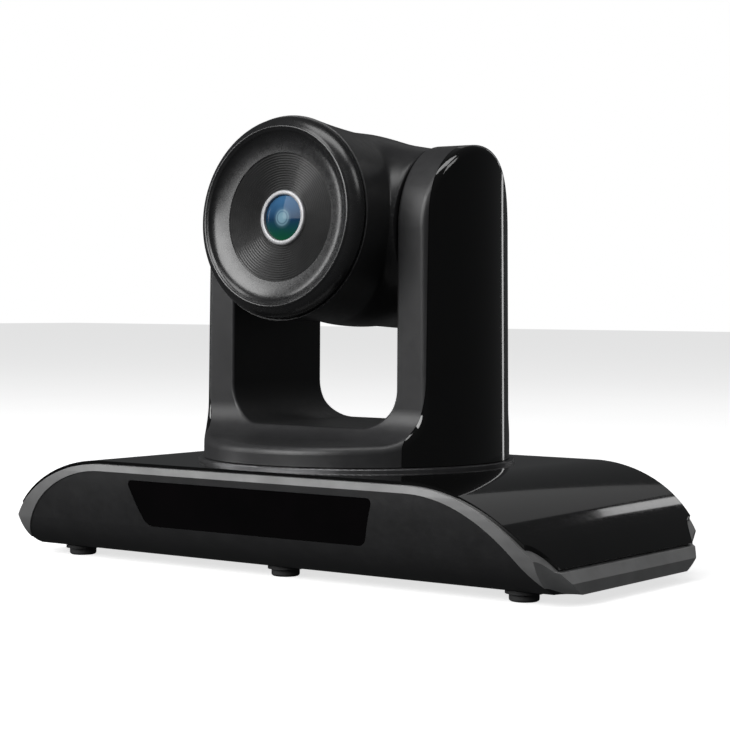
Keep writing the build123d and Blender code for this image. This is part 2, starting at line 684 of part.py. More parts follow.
with BuildPart() as id_dial:
    with BuildSketch(DIAL_BACK.offset(0.3)):
        with Locations((DIAL_X, SOCKET_Z)):
            Circle(3.3)
    extrude(amount=4.4)
    with BuildSketch(DIAL_BACK.offset(4.7)):
        with Locations((DIAL_X, SOCKET_Z)):
            Circle(1.5)
    extrude(amount=3.5)
    with BuildSketch(DIAL_BACK.offset(0.3)):
        with Locations((DIAL_X, SOCKET_Z)):
            Rectangle(0.9, 5.0)
            with Locations((0, 1.9)):
                Triangle(a=1.8, b=1.8, c=1.8)
    extrude(amount=1.0, mode=Mode.SUBTRACT)
save(id_dial, "id_dial")

# ---- pan drive
with BuildPart() as turntable_ring:
    with BuildSketch(PAN.offset(PANEL_TOP)):
        Circle(57.8)
        Circle(50, mode=Mode.SUBTRACT)
    extrude(amount=1.1)
    rims = turntable_ring.edges().group_by(Axis.Z)[-1]
    fillet(rims, 0.4)
save(turntable_ring, "turntable_ring")

SHAFT_RADIUS = 12.0
SHAFT_LOW = 16.0
GEAR_LOW = 20.0
with BuildPart() as pan_bearing:
    with BuildSketch(PAN.offset(31)):
        Circle(BEARING_RADIUS)
        Circle(SHAFT_RADIUS + FIT, mode=Mode.SUBTRACT)
    extrude(amount=PANEL_TOP - 31)
save(pan_bearing, "pan_bearing")

with BuildPart() as pan_shaft:
    with BuildSketch(PAN.offset(SHAFT_LOW)):
        Circle(SHAFT_RADIUS)
    extrude(amount=YOKE_BOTTOM + 4.5 - SHAFT_LOW)
    with BuildSketch(PAN.offset(YOKE_BOTTOM + 2.5)):
        Circle(20)
    extrude(amount=2)
    with BuildSketch(PAN.offset(SHAFT_LOW)):
        Circle(8)
    extrude(amount=YOKE_BOTTOM + 4.5 - SHAFT_LOW, mode=Mode.SUBTRACT)
    with BuildSketch(PAN.offset(GEAR_LOW - 1.2)):
        Circle(SHAFT_RADIUS)
        Circle(SHAFT_RADIUS - 1, mode=Mode.SUBTRACT)
    extrude(amount=1.2, mode=Mode.SUBTRACT)
    with BuildSketch(PAN.offset(YOKE_BOTTOM + 2.5)):
        with PolarLocations(16, 3, 30):
            Circle(1.6)
    extrude(amount=2, mode=Mode.SUBTRACT)
save(pan_shaft, "pan_shaft")

PAN_TEETH = gear_outline(PAN_GEAR_TEETH, PAN_MODULE, PAN.offset(GEAR_LOW), pi)
with BuildPart() as pan_gear:
    extrude(PAN_TEETH, amount=6)
    with BuildSketch(PAN.offset(GEAR_LOW)):
        Circle(SHAFT_RADIUS)
        with PolarLocations(17, 6):
            Circle(2.6)
    extrude(amount=6, mode=Mode.SUBTRACT)
save(pan_gear, "pan_gear")

with BuildPart() as retaining_ring:
    with BuildSketch(PAN.offset(GEAR_LOW - 1.2)):
        Circle(SHAFT_RADIUS + 2)
        Circle(SHAFT_RADIUS - 1, mode=Mode.SUBTRACT)
        with Locations((0, -SHAFT_RADIUS)):
            Rectangle(5, 6, mode=Mode.SUBTRACT)
    extrude(amount=1.2)
save(retaining_ring, "retaining_ring")

MOTOR = Plane(origin=(MOTOR_X, PAN_Y, 0))
with BuildPart() as pan_motor:
    with BuildSketch(MOTOR.offset(PLATE_TOP)):
        Circle(15)
    extrude(amount=10)
    with BuildSketch(MOTOR.offset(PLATE_TOP)):
        SlotOverall(44, 7, rotation=90)
        with Locations((0, 18), (0, -18)):
            Circle(1.55, mode=Mode.SUBTRACT)
    extrude(amount=1)
    with BuildSketch(MOTOR.offset(PLATE_TOP + 10)):
        Circle(4)
    extrude(amount=1.2)
    with BuildSketch(MOTOR.offset(PLATE_TOP + 1)):
        Circle(2.5 + FIT)
    extrude(amount=12, mode=Mode.SUBTRACT)
save(pan_motor, "pan_motor")

PINION_PHASE = pi / PINION_TEETH
PINION_PLANE = MOTOR.offset(GEAR_LOW - 0.5)
PAN_PINION_TEETH = gear_outline(PINION_TEETH, PAN_MODULE, PINION_PLANE, PINION_PHASE)
with BuildPart() as pan_pinion:
    extrude(PAN_PINION_TEETH, amount=7)
    with BuildSketch(MOTOR.offset(PLATE_TOP + 1.5)):
        Circle(2.5)
    extrude(amount=GEAR_LOW - PLATE_TOP)
save(pan_pinion, "pan_pinion")

with BuildPart() as pan_motor_screws:
    for side in (-18, 18):
        with BuildSketch(MOTOR.offset(PLATE_TOP + 1)):
            with Locations((0, side)):
                Circle(2.4)
        extrude(amount=1.3)
        with BuildSketch(MOTOR.offset(PLATE_TOP)):
            with Locations((0, side)):
                Circle(SCREW_RADIUS)
        extrude(amount=1)
        with BuildSketch(MOTOR.offset(PLATE_TOP + 2.3)):
            with Locations((0, side)):
                Rectangle(3, 0.6)
                Rectangle(0.6, 3)
        extrude(amount=-0.7, mode=Mode.SUBTRACT)
save(pan_motor_screws, "pan_motor_screws")


# ================================================================ yoke
SHELF_Z = 46.2             # outer edge of the shelf round the yoke's foot
KNEE_Z = 47.4              # where the shelf starts to turn up into the arms
SHELF_SLOPE = radians(3.7)
FLARE = 11.75
KNEE_RUN = FLARE * (1 - sin(SHELF_SLOPE))
ARM_MID = (YOKE_FRONT + YOKE_BACK) / 2
ARM_HALF = (YOKE_BACK - YOKE_FRONT) / 2
YOKE_TAPER = 0.665
YOKE_HEIGHT = 112.5
POCKET_X = GAP_HALF + WALL
FLOOR_TOP = YOKE_BOTTOM + 4.5
FLOOR_POCKET = 40.0
YOKE_SCREWS = 34.0
COVER_GAP = 0.15


def yoke_side():
    """Side view of the yoke: domed arms that flare at the foot into a low shelf."""
    with BuildSketch(PAN_SIDE) as area:
        with BuildLine():
            reach = YOKE_RADIUS + 2
            front = Line((-reach, SHELF_Z), (YOKE_FRONT - KNEE_RUN, KNEE_Z))
            front_flare = JernArc(front @ 1, (cos(SHELF_SLOPE), sin(SHELF_SLOPE)), FLARE, 86.3)
            back = Line((reach, SHELF_Z), (YOKE_BACK + KNEE_RUN, KNEE_Z))
            back_flare = JernArc(back @ 1, (-cos(SHELF_SLOPE), sin(SHELF_SLOPE)), FLARE, -86.3)
            dome = EllipticalCenterArc((ARM_MID, ARM_SPRING), ARM_HALF, ARM_RISE, arc_size=180)
            Line(front_flare @ 1, dome @ 1)
            Line(back_flare @ 1, dome @ 0)
            Polyline(front @ 0, (-reach, YOKE_BOTTOM), (reach, YOKE_BOTTOM), back @ 0)
        make_face()
    return area.sketch


def arm_space(inset, floor):
    """Side view of the hollow inside an arm, down to its floor."""
    with BuildSketch(PAN_SIDE) as area:
        with BuildLine():
            half = ARM_HALF - inset
            arch = EllipticalCenterArc((ARM_MID, ARM_SPRING), half, ARM_RISE - inset, arc_size=180)
            Polyline(arch @ 1, (ARM_MID - half, floor), (ARM_MID + half, floor), arch @ 0)
        make_face()
    return area.sketch


def frame_outline(grow):
    """Front view of the matte frame between the two gloss covers."""
    with BuildSketch(PAN_FRONT) as area:
        with BuildLine():
            top = (ARM_SPLIT + grow, 153)
            turn = Line(top, (ARM_SPLIT + grow, 69.5))
            sweep_in = JernArc(turn @ 1, (0, -1), 46.8, -25.3)
            foot = Line(sweep_in @ 1, ((sweep_in @ 1).X, YOKE_BOTTOM - 1))
            Line(foot @ 1, (0, YOKE_BOTTOM - 1))
            Line((0, 153), top)
            mirror(about=Plane.YZ)
        make_face()
    return area.sketch


def gap_outline():
    """Front view of the gap between the arms, open at the top."""
    with BuildSketch(PAN_FRONT) as area:
        with Locations((0, GAP_FLOOR + 60)):
            Rectangle(2 * GAP_HALF, 120)
        fillet(area.vertices().group_by(Axis.Z)[0], 14)
    return area.sketch


YOKE_SIDE = yoke_side()
ARM_SPACE = arm_space(WALL, 62)
COVER_HOLLOW = arm_space(WALL, YOKE_BOTTOM + 2.5)
FRAME_AREA = frame_outline(0)
FRAME_CLEARANCE = frame_outline(COVER_GAP)
GAP_AREA = gap_outline()

with BuildPart() as yoke_envelope:
    with BuildSketch(PAN.offset(YOKE_BOTTOM)):
        Circle(YOKE_RADIUS)
    extrude(amount=YOKE_HEIGHT, taper=YOKE_TAPER)
    extrude(YOKE_SIDE, amount=80, both=True, mode=Mode.INTERSECT)
    outline_edges = yoke_envelope.edges().filter_by_position(Axis.Z, YOKE_BOTTOM + 1, TILT_Z + ARM_RISE)
    side_edges = [e for e in outline_edges if abs(e.center().X) > GAP_HALF and e.length > YOKE_EDGE]
    fillet([e for e in side_edges if e.geom_type == GeomType.BSPLINE], YOKE_EDGE)

with BuildPart() as arm_pockets:
    extrude(ARM_SPACE, amount=60, both=True)
    with BuildSketch(PAN_FRONT):
        with Locations((0, TILT_Z)):
            Rectangle(2 * POCKET_X, 140)
    extrude(amount=40, both=True, mode=Mode.SUBTRACT)

with BuildPart() as yoke_frame:
    add(yoke_envelope.part)
    extrude(FRAME_AREA, amount=80, both=True, mode=Mode.INTERSECT)
    extrude(GAP_AREA, amount=80, both=True, mode=Mode.SUBTRACT)
    mouth = [e for e in yoke_frame.edges() if abs(e.center().X) < GAP_HALF + 1]
    mouth = [e for e in mouth if GAP_FLOOR - GAP_EDGE < e.center().Z < ARM_SPRING]
    fillet([e for e in mouth if abs(e.center().Y - PAN_Y) > -YOKE_FRONT - WIDEST_SLIP], GAP_EDGE)
    add(arm_pockets.part, mode=Mode.SUBTRACT)
    for side in (1, -1):
        with BuildSketch(TILT_SIDE.offset(side * GAP_HALF)):
            Circle(8)
        extrude(amount=side * WALL, mode=Mode.SUBTRACT)
    with BuildSketch(TILT_SIDE.offset(POCKET_X)):
        with Locations((14, -TILT_DISTANCE), (-14, -TILT_DISTANCE)):
            Circle(3)
    extrude(amount=44.6 - POCKET_X)
    with BuildSketch(TILT_SIDE.offset(POCKET_X)):
        with Locations((14, -TILT_DISTANCE), (-14, -TILT_DISTANCE)):
            Circle(SCREW_RADIUS + FIT)
    extrude(amount=44.6 - POCKET_X, mode=Mode.SUBTRACT)
    with BuildSketch(PAN.offset(YOKE_BOTTOM)):
        Circle(FLOOR_POCKET)
    extrude(amount=FLOOR_TOP - YOKE_BOTTOM, mode=Mode.SUBTRACT)
    with BuildSketch(PAN.offset(FLOOR_TOP)):
        with PolarLocations(YOKE_SCREWS, 4, 45):
            Circle(SCREW_RADIUS + FIT)
    extrude(amount=6, mode=Mode.SUBTRACT)
    for side in (1, -1):
        for height in (70, 118):
            with BuildSketch(PAN_FRONT.offset(-YOKE_BACK)):
                with Locations((side * 43.4, height)):
                    Circle(2.2)
            extrude(amount=1.5, mode=Mode.SUBTRACT)
save(yoke_frame, "yoke_frame")


def side_cover(side):
    """Hollow gloss cover on the outside of one arm."""
    with BuildPart() as cover:
        add(yoke_envelope.part)
        extrude(FRAME_CLEARANCE, amount=80, both=True, mode=Mode.SUBTRACT)
        with BuildSketch(PAN.offset(YOKE_BOTTOM - 5)):
            with Locations((-side * 100, 0)):
                Rectangle(200, 200)
        extrude(amount=YOKE_HEIGHT + 20, mode=Mode.SUBTRACT)
        add(cover_space.part, mode=Mode.SUBTRACT)
    return cover


with BuildPart() as cover_space:
    with BuildSketch(PAN.offset(YOKE_BOTTOM + 2.5)):
        Circle(YOKE_RADIUS - 2)
    extrude(amount=YOKE_HEIGHT, taper=YOKE_TAPER)
    extrude(COVER_HOLLOW, amount=80, both=True, mode=Mode.INTERSECT)

side_cover_left = side_cover(-1)
save(side_cover_left, "side_cover_left")
side_cover_right = side_cover(1)
save(side_cover_right, "side_cover_right")

with BuildPart() as yoke_base_plate:
    with BuildSketch(PAN.offset(YOKE_BOTTOM)):
        Circle(FLOOR_POCKET - 0.1)
        Circle(SHAFT_RADIUS, mode=Mode.SUBTRACT)
        with PolarLocations(YOKE_SCREWS, 4, 45):
            Circle(SCREW_RADIUS + FIT, mode=Mode.SUBTRACT)
    extrude(amount=2.5)
    with BuildSketch(PAN.offset(YOKE_BOTTOM + 2.5)):
        Circle(FLOOR_POCKET - 0.1)
        Circle(20, mode=Mode.SUBTRACT)
        with PolarLocations(YOKE_SCREWS, 4, 45):
            Circle(SCREW_RADIUS + FIT, mode=Mode.SUBTRACT)
    extrude(amount=2)
    with BuildSketch(PAN.offset(YOKE_BOTTOM)):
        with PolarLocations(YOKE_SCREWS, 4, 45):
            Circle(3)
    extrude(amount=1.6, mode=Mode.SUBTRACT)
save(yoke_base_plate, "yoke_base_plate")

with BuildPart() as yoke_screws:
    with BuildSketch(PAN.offset(YOKE_BOTTOM + 0.1)):
        with PolarLocations(YOKE_SCREWS, 4, 45):
            Circle(2.8)
    extrude(amount=1.5)
    with BuildSketch(PAN.offset(YOKE_BOTTOM + 1.6)):
        with PolarLocations(YOKE_SCREWS, 4, 45):
            Circle(SCREW_RADIUS)
    extrude(amount=8)
save(yoke_screws, "yoke_screws")

with BuildPart() as cover_screws:
    for side in (1, -1):
        for height in (70, 118):
            with BuildSketch(PAN_FRONT.offset(-YOKE_BACK)):
                with Locations((side * 43.4, height)):
                    Circle(2.1)
            extrude(amount=1.5)
            with BuildSketch(PAN_FRONT.offset(-YOKE_BACK)):
                with Locations((side * 43.4, height)):
                    Rectangle(2.8, 0.6)
                    Rectangle(0.6, 2.8)
            extrude(amount=0.8, mode=Mode.SUBTRACT)
save(cover_screws, "cover_screws")

with BuildPart() as tilt_bearings:
    for side in (1, -1):
        with BuildSketch(TILT_SIDE.offset(side * GAP_HALF)):
            Circle(8)
        extrude(amount=side * WALL)
        with BuildSketch(TILT_SIDE.offset(side * POCKET_X)):
            Circle(9.5)
        extrude(amount=side * 1)
        with BuildSketch(TILT_SIDE.offset(side * GAP_HALF)):
            Circle(5 + FIT)
        extrude(amount=side * 4, mode=Mode.SUBTRACT)
save(tilt_bearings, "tilt_bearings")

TILT_GEAR_X = 40.3
TILT_MOTOR = Plane(origin=(0, PAN_Y, TILT_Z - TILT_DISTANCE), x_dir=(0, 1, 0), z_dir=(1, 0, 0))
with BuildPart() as tilt_motor:
    with BuildSketch(TILT_MOTOR.offset(44.6)):
        SlotOverall(34, 7)
        with Locations((14, 0), (-14, 0)):
            Circle(SCREW_RADIUS + FIT, mode=Mode.SUBTRACT)
    extrude(amount=0.8)
    with BuildSketch(TILT_MOTOR.offset(44.6)):
        Circle(10)
    extrude(amount=6.8)
    with BuildSketch(TILT_MOTOR.offset(44.6)):
        Circle(2 + FIT)
    extrude(amount=5.6, mode=Mode.SUBTRACT)
save(tilt_motor, "tilt_motor")

with BuildPart() as tilt_motor_screws:
    for side in (14, -14):
        with BuildSketch(TILT_MOTOR.offset(40)):
            with Locations((side, 0)):
                Circle(SCREW_RADIUS)
        extrude(amount=5.4)
        with BuildSketch(TILT_MOTOR.offset(45.4)):
            with Locations((side, 0)):
                Circle(2.6)
        extrude(amount=1.4)
save(tilt_motor_screws, "tilt_motor_screws")

TILT_PINION_PLANE = TILT_MOTOR.offset(40.1)
TILT_PINION_TEETH = gear_outline(PINION_TEETH, TILT_MODULE, TILT_PINION_PLANE, PINION_PHASE)
with BuildPart() as tilt_pinion:
    extrude(TILT_PINION_TEETH, amount=4.3)
    with BuildSketch(TILT_MOTOR.offset(44.4)):
        Circle(2)
    extrude(amount=5)
save(tilt_pinion, "tilt_pinion")

TILT_TEETH = gear_outline(TILT_GEAR_TEETH, TILT_MODULE, TILT_SIDE.offset(TILT_GEAR_X), 0)
with BuildPart() as tilt_gear:
    extrude(TILT_TEETH, amount=4)
    with BuildSketch(TILT_SIDE.offset(TILT_GEAR_X)):
        Circle(5)
    extrude(amount=4, mode=Mode.SUBTRACT)
save(tilt_gear, "tilt_gear")


# ================================================================ head
def tilt_shaft(side, length):
    """Trunnion with a flange inside the head's side disc."""
    with BuildPart() as shaft:
        with BuildSketch(TILT_SIDE.offset(side * (HEAD_SIDE - HEAD_WALL - 2))):
            Circle(12)
        extrude(amount=side * 2)
        with BuildSketch(TILT_SIDE.offset(side * (HEAD_SIDE - HEAD_WALL))):
            Circle(5)
        extrude(amount=side * length)
        with BuildSketch(TILT_SIDE.offset(side * (HEAD_SIDE - HEAD_WALL - 2))):
            Circle(3)
        extrude(amount=side * (length + 2), mode=Mode.SUBTRACT)
    return shaft


tilt_shaft_left = tilt_shaft(-1, 7.5)
save(tilt_shaft_left, "tilt_shaft_left")
tilt_shaft_right = tilt_shaft(1, 11.5)
save(tilt_shaft_right, "tilt_shaft_right")


with BuildPart() as head_outer:
    with BuildSketch(LENS_CUT):
        with BuildLine():
            rear = Line((0, HEAD_BACK_L), (24, HEAD_BACK_L))
            corner = ThreePointArc(rear @ 1, (30.9, -36.9), (33.6, -30))
            side = Line(corner @ 1, (34.5, 12))
            mouth = ThreePointArc(side @ 1, (34.9, 30), (35.9, HEAD_FRONT_L))
            Polyline(mouth @ 1, (0, HEAD_FRONT_L), rear @ 0)
        make_face()
    revolve(axis=LENS_AXIS)
    with BuildSketch(TILT_CUT):
        with BuildLine():
            edge = (HEAD_SIDE, DISC_RADIUS - 0.8)
            rim = (HEAD_SIDE - 0.8, DISC_RADIUS)
            waist = (7, WAIST_RADIUS)
            Polyline((HEAD_SIDE, 0), edge, rim, waist, (0, WAIST_RADIUS))
            mirror(about=Plane.YZ)
            Line((HEAD_SIDE, 0), (-HEAD_SIDE, 0))
        make_face()
    revolve(axis=TILT_AXIS)

with BuildPart() as head_space:
    with BuildSketch(LENS_CUT):
        with BuildLine():
            Polyline(
                (0, -37.8), (23, -37.8), (30, -33), (32.2, -20), (32.2, 40.5),
                (33.6, 40.5), (33.6, HEAD_FRONT_L), (0, HEAD_FRONT_L), (0, -37.8),
            )
        make_face()
    revolve(axis=LENS_AXIS)
    with BuildSketch(TILT_CUT):
        with BuildLine():
            wall_side = HEAD_SIDE - HEAD_WALL
            inner_waist = WAIST_RADIUS - HEAD_WALL
            Polyline((wall_side, 0), (wall_side, 26), (7, inner_waist), (0, inner_waist))
            mirror(about=Plane.YZ)
            Line((wall_side, 0), (-wall_side, 0))
        make_face()
    revolve(axis=TILT_AXIS)

with BuildPart() as head_shell:
    add(head_outer.part)
    add(head_space.part, mode=Mode.SUBTRACT)
    split(bisect_by=LENS.offset(SEAM_L), keep=Keep.TOP)
    with BuildSketch(TILT_SIDE.offset(-HEAD_SIDE)):
        Circle(5)
    extrude(amount=2 * HEAD_SIDE, mode=Mode.SUBTRACT)
save(head_shell, "head_shell")

with BuildPart() as rear_cover:
    add(head_outer.part)
    add(head_space.part, mode=Mode.SUBTRACT)
    split(bisect_by=LENS.offset(SEAM_L), keep=Keep.BOTTOM)
    with BuildSketch(LENS.offset(HEAD_BACK_L)):
        with GridLocations(30, 30, 2, 2):
            Circle(2.2)
    extrude(amount=1.4, mode=Mode.SUBTRACT)
save(rear_cover, "rear_cover")

with BuildPart() as rear_cover_screws:
    with BuildSketch(LENS.offset(HEAD_BACK_L)):
        with GridLocations(30, 30, 2, 2):
            Circle(2.1)
    extrude(amount=1.4)
    with BuildSketch(LENS.offset(HEAD_BACK_L)):
        with GridLocations(30, 30, 2, 2):
            Rectangle(2.8, 0.6)
            Rectangle(0.6, 2.8)
    extrude(amount=0.8, mode=Mode.SUBTRACT)
save(rear_cover_screws, "rear_cover_screws")

with BuildPart() as lens_bezel:
    with BuildSketch(LENS_CUT):
        with BuildLine():
            back = Polyline((33.5, 42.5), (33.5, 44.0), (35.1, 44.0), (35.3, 44.6))
            flare = ThreePointArc(back @ 1, (34.1, 46.9), (32.0, 48.8))
            rim = Polyline(flare @ 1, (RIM_RADIUS, RIM_L), (30.9, RIM_L), (30.5, 48.8), (30.1, 48.8))
            bowl = ThreePointArc(rim @ 1, (27.5, 47.1), (22.6, 46.3))
            Polyline(bowl @ 1, (22.6, 45.3), (28.5, 45.6), (31.2, 44.0), (31.2, 42.5), back @ 0)
        make_face()
    revolve(axis=LENS_AXIS)
save(lens_bezel, "lens_bezel")

RIB_COUNT = 20
CONE_OUTER = 22.5
CONE_INNER = 9.8
CONE_FRONT = 46.2
CONE_DEPTH = 2.2
with BuildPart() as lens_cone:
    with BuildSketch(LENS_CUT):
        with BuildLine():
            pitch = (CONE_OUTER - CONE_INNER) / RIB_COUNT
            ribs = [(CONE_OUTER, CONE_FRONT)]
            for rib in range(RIB_COUNT):
                reach = CONE_OUTER - pitch * (rib + 1)
                drop = CONE_FRONT - CONE_DEPTH * (rib + 1) / RIB_COUNT
                ribs += [(reach + 0.5 * pitch, drop - 0.22), (reach, drop)]
            Polyline(*ribs, (CONE_INNER, 42.8), (CONE_OUTER, 44.4), ribs[0])
        make_face()
    revolve(axis=LENS_AXIS)
save(lens_cone, "lens_cone")

with BuildPart() as lens_ring:
    with BuildSketch(LENS_CUT):
        with BuildLine():
            rim = Polyline((9.7, 42.5), (9.7, 44.6), (9.2, 45.1), (8.4, 45.1), (8.0, 44.6))
            Polyline(rim @ 1, (8.0, 42.5), rim @ 0)
        make_face()
    revolve(axis=LENS_AXIS)
save(lens_ring, "lens_ring")

def lens_face(radius, crown, drop):
    """Spherical lens face from its crown on the axis to its rim, drop below the crown."""
    sphere = (radius**2 + drop**2) / (2 * abs(drop))
    sweep = degrees(asin(radius / sphere))
    return JernArc((0, crown), (1, 0), sphere, -sweep if drop > 0 else sweep)


with BuildPart() as front_lens:
    with BuildSketch(LENS_CUT):
        with BuildLine():
            dome = lens_face(7.9, 44.7, 0.9)
            Polyline(dome @ 1, (7.9, 41.2), (0, 41.2), dome @ 0)
        make_face()
    revolve(axis=LENS_AXIS)
save(front_lens, "front_lens")

BARREL_BACK = -20.0
BARREL_BORE = 10.5
ROD_PLACE = 8.9
with BuildPart() as lens_barrel:
    with BuildSketch(LENS.offset(BARREL_BACK)):
        Circle(12)
        Circle(BARREL_BORE, mode=Mode.SUBTRACT)
    extrude(amount=40.5 - BARREL_BACK)
    with BuildSketch(LENS.offset(40.5)):
        Circle(33.5)
        Circle(7.95, mode=Mode.SUBTRACT)
    extrude(amount=2)
save(lens_barrel, "lens_barrel")

with BuildPart() as guide_rods:
    with BuildSketch(LENS.offset(BARREL_BACK)):
        with PolarLocations(ROD_PLACE, 2):
            Circle(0.8)
    extrude(amount=40.5 - BARREL_BACK)
save(guide_rods, "guide_rods")


def lens_carrier(back, thickness):
    """Ring that slides on the guide rods inside the lens barrel."""
    with BuildPart() as carrier:
        with BuildSketch(LENS.offset(back)):
            Circle(BARREL_BORE - 0.3)
            Circle(6.5, mode=Mode.SUBTRACT)
            with PolarLocations(ROD_PLACE, 2):
                Circle(0.8 + FIT, mode=Mode.SUBTRACT)
        extrude(amount=thickness)
    return carrier


def inner_lens(back, thickness, bulge):
    """Biconvex glass held in a carrier."""
    with BuildPart() as glass:
        with BuildSketch(LENS_CUT):
            with BuildLine():
                near = lens_face(6.5, back, -bulge)
                far = lens_face(6.5, back + thickness, bulge)
                Line(near @ 1, far @ 1)
                Line(far @ 0, near @ 0)
            make_face()
        revolve(axis=LENS_AXIS)
    return glass


zoom_carrier = lens_carrier(12, 6)
save(zoom_carrier, "zoom_carrier")
zoom_lens = inner_lens(12.5, 5, 1.2)
save(zoom_lens, "zoom_lens")
focus_carrier = lens_carrier(-10, 5)
save(focus_carrier, "focus_carrier")
focus_lens = inner_lens(-9.5, 4, 1.0)
save(focus_lens, "focus_lens")

with BuildPart() as sensor_board:
    with BuildSketch(LENS.offset(BARREL_BACK - 1.6)):
        RectangleRounded(38, 38, 2)
    extrude(amount=1.6)
    with BuildSketch(LENS.offset(BARREL_BACK)):
        Rectangle(13, 11)
    extrude(amount=1.3)
    with BuildSketch(LENS.offset(BARREL_BACK - 1.6)):
        with Locations((-8, 6), (9, -7)):
            Rectangle(9, 9)
    extrude(amount=-1.2)
save(sensor_board, "sensor_board")

with BuildPart() as wire_harness:
    with BuildSketch(PAN.offset(14)):
        Circle(4)
    extrude(amount=29)
save(wire_harness, "wire_harness")
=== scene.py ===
import bmesh
import bpy
import json
from math import cos, pi, radians, sin, sqrt
from mathutils import Matrix, Vector


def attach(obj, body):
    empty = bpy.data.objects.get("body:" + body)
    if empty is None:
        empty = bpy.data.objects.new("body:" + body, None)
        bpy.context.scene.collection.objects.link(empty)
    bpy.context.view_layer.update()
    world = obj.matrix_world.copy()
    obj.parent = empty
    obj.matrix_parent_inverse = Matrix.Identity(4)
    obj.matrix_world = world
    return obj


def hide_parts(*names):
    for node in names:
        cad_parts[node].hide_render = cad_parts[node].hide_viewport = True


# Looks of a desktop pan, tilt and zoom camera. Shapes are worked out in millimetres in the CAD
# frame and written to the meshes in metres.

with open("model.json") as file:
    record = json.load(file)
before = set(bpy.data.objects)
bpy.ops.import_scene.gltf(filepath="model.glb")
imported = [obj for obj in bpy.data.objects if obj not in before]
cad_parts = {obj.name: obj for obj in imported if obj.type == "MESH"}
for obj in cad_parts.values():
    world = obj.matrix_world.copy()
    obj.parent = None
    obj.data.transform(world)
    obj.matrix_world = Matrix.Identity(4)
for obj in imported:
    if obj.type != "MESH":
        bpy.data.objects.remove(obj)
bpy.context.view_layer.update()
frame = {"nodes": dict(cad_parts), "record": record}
NODES = frame["nodes"]
MM = 0.001

# ---------------------------------------------------------------- sizes shared with the CAD
PAN_Y = 3.7
TILT_Z = 122.0
REST_TILT = radians(4.2)
HEAD_SIDE = 36.0
DISC_RADIUS = 28.2         # side disc of the head where it meets an arm
WAIST_RADIUS = 33.2        # the double cone between the discs, at its middle
WAIST_HALF = 7.0
HEAD_FRONT_L = 43.5        # reaches along the lens axis from the tilt axis
SEAM_L = -27.5
SKIN_EASE = 0.03           # the head skin stays this far inside the CAD head

LENS_DIR = Vector((0, -cos(REST_TILT), sin(REST_TILT)))
LENS_UP = Vector((0, sin(REST_TILT), cos(REST_TILT)))
LENS_SIDE = Vector((1, 0, 0))
TILT_CENTRE = Vector((0, PAN_Y, TILT_Z))


def head_point(radius, angle, reach):
    """Point of the head: radius and angle about the lens axis, reach along it."""
    across = LENS_SIDE * cos(angle) + LENS_UP * sin(angle)
    return (TILT_CENTRE + across * radius + LENS_DIR * reach) * MM


# ---------------------------------------------------------------- mesh helpers
def make_piece(name, vertices, faces, body, stands_for=(), sharp=35):
    """Mesh object with outward faces, smooth except across edges sharper than sharp."""
    mesh = bpy.data.meshes.new(name)
    mesh.from_pydata([tuple(v) for v in vertices], [], faces)
    work = bmesh.new()
    work.from_mesh(mesh)
    bmesh.ops.remove_doubles(work, verts=work.verts, dist=1e-6)
    bmesh.ops.recalc_face_normals(work, faces=work.faces)
    for face in work.faces:
        face.smooth = True
    for edge in work.edges:
        if len(edge.link_faces) == 2 and edge.calc_face_angle() > radians(sharp):
            edge.smooth = False
    work.to_mesh(mesh)
    work.free()
    piece = bpy.data.objects.new(name, mesh)
    bpy.context.scene.collection.objects.link(piece)
    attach(piece, body)
    if stands_for:
        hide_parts(*stands_for)
    return piece


def grid_faces(rows, columns, wrap_rows, wrap_columns):
    """Quads of a grid of rows x columns vertices."""
    faces = []
    for i in range(rows if wrap_rows else rows - 1):
        for j in range(columns if wrap_columns else columns - 1):
            low, high = i, (i + 1) % rows
            near, far = j, (j + 1) % columns
            faces.append((low * columns + near, low * columns + far,
                          high * columns + far, high * columns + near))
    return faces


def through(a, b, c, steps):
    """Points along the smooth curve from a through b to c."""
    middle = [2 * b[k] - (a[k] + c[k]) / 2 for k in (0, 1)]
    points = []
    for i in range(steps + 1):
        t = i / steps
        points.append(tuple((1 - t) ** 2 * a[k] + 2 * t * (1 - t) * middle[k] + t * t * c[k]
                            for k in (0, 1)))
    return points


def revolve(name, profile, stands_for=(), body="head", segments=240, sharp=35):
    """Piece turned about the lens axis from (radius, reach) points of a closed profile."""
    vertices = []
    for radius, reach in profile:
        for k in range(segments):
            vertices.append(head_point(max(radius, 0.0), 2 * pi * k / segments, reach))
    faces = grid_faces(len(profile), segments, True, True)
    return make_piece(name, vertices, faces, body, stands_for, sharp)


# ---------------------------------------------------------------- materials
def new_material(name):
    material = bpy.data.materials.new(name)
    material.use_nodes = True
    nodes, links = material.node_tree.nodes, material.node_tree.links
    shader = nodes["Principled BSDF"]
    place = nodes.new("ShaderNodeTexCoord")
    return material, nodes, links, shader, place


def noise(nodes, links, place, scale, detail=4.0, stretch=(1, 1, 1), roughness=0.55):
    """Noise in object space, scale in waves per metre."""
    mapping = nodes.new("ShaderNodeMapping")
    mapping.inputs["Scale"].default_value = stretch
    texture = nodes.new("ShaderNodeTexNoise")
    texture.inputs["Scale"].default_value = scale
    texture.inputs["Detail"].default_value = detail
    texture.inputs["Roughness"].default_value = roughness
    links.new(place.outputs["Object"], mapping.inputs["Vector"])
    links.new(mapping.outputs["Vector"], texture.inputs["Vector"])
    return texture.outputs["Fac"]


def spread(nodes, links, value, low, high):
    """Maps a 0.3 to 0.7 noise value onto low to high."""
    node = nodes.new("ShaderNodeMapRange")
    node.inputs["From Min"].default_value = 0.3
    node.inputs["From Max"].default_value = 0.7
    node.inputs["To Min"].default_value = low
    node.inputs["To Max"].default_value = high
    links.new(value, node.inputs["Value"])
    return node.outputs["Result"]


